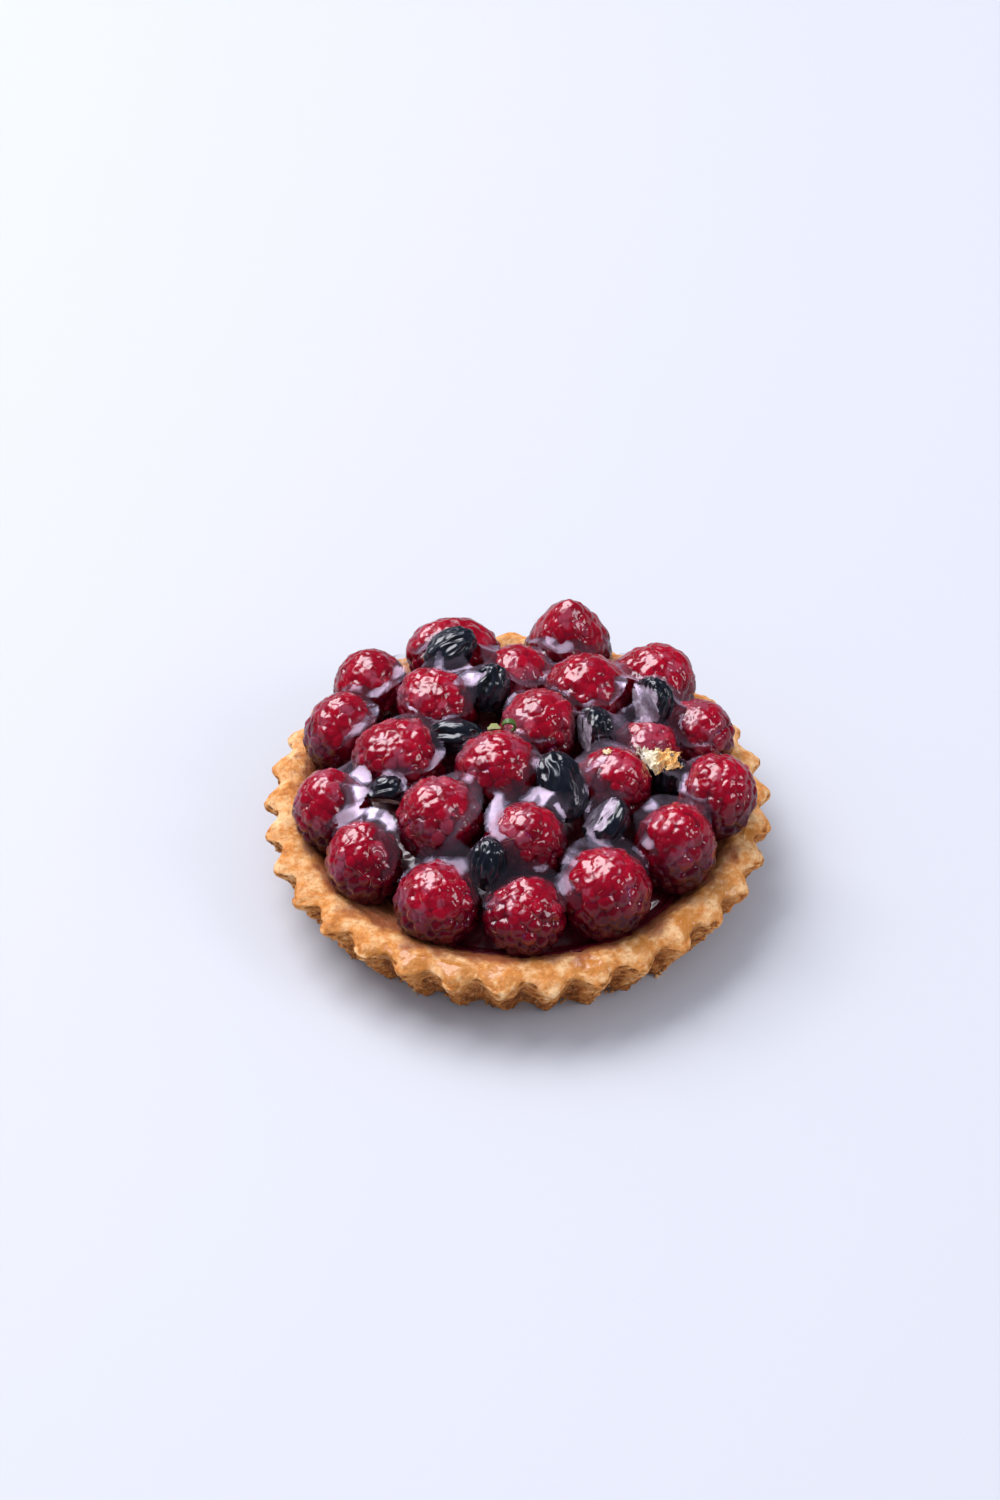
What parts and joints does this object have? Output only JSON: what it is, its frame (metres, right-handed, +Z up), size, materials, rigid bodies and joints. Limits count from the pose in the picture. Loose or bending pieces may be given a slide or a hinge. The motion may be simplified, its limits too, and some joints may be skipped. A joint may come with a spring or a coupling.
{
  "type": "berry tart",
  "caption": "Round fluted shortcrust tart filled with dark jam and heaped with glazed raspberries and dark berries, with a flake of gold leaf and a tiny herb sprig.",
  "frame": {"origin": "centre of the underside, on the surface that the tart stands on", "axes": "+Z up, -Y toward the side that the picture shows"},
  "size_m": [0.1044, 0.1044, 0.0381],
  "materials": {
    "shortcrust": "matt, baked and crumbly",
    "dark_jam": "glossy, wet",
    "raspberry_red": "glossy, glazed",
    "dark_skin": "glossy, glazed",
    "gold_leaf": "crumpled, bright",
    "herb_green": "satin",
    "pale_bract": "satin"
  },
  "bodies": {
    "root": {"crust": "shortcrust", "jam": "dark_jam", "raspberry_01": "raspberry_red", "raspberry_02": "raspberry_red", "raspberry_03": "raspberry_red", "raspberry_04": "raspberry_red", "raspberry_05": "raspberry_red", "raspberry_06": "raspberry_red", "raspberry_07": "raspberry_red", "raspberry_08": "raspberry_red", "raspberry_09": "raspberry_red", "raspberry_10": "raspberry_red", "raspberry_11": "raspberry_red", "raspberry_12": "raspberry_red", "raspberry_13": "raspberry_red", "raspberry_14": "raspberry_red", "raspberry_15": "raspberry_red", "raspberry_16": "raspberry_red", "raspberry_17": "raspberry_red", "raspberry_18": "raspberry_red", "raspberry_19": "raspberry_red", "raspberry_20": "raspberry_red", "raspberry_21": "raspberry_red", "raspberry_22": "raspberry_red", "raspberry_23": "raspberry_red", "dark_berry_01": "dark_skin", "dark_berry_02": "dark_skin", "dark_berry_03": "dark_skin", "dark_berry_04": "dark_skin", "dark_berry_05": "dark_skin", "dark_berry_06": "dark_skin", "dark_berry_07": "dark_skin", "dark_berry_08": "dark_skin", "dark_berry_09": "dark_skin", "dark_berry_10": "dark_skin", "gold_leaf": "gold_leaf", "herb_curl": "herb_green", "herb_bract": "pale_bract"}
  },
  "joints": []
}
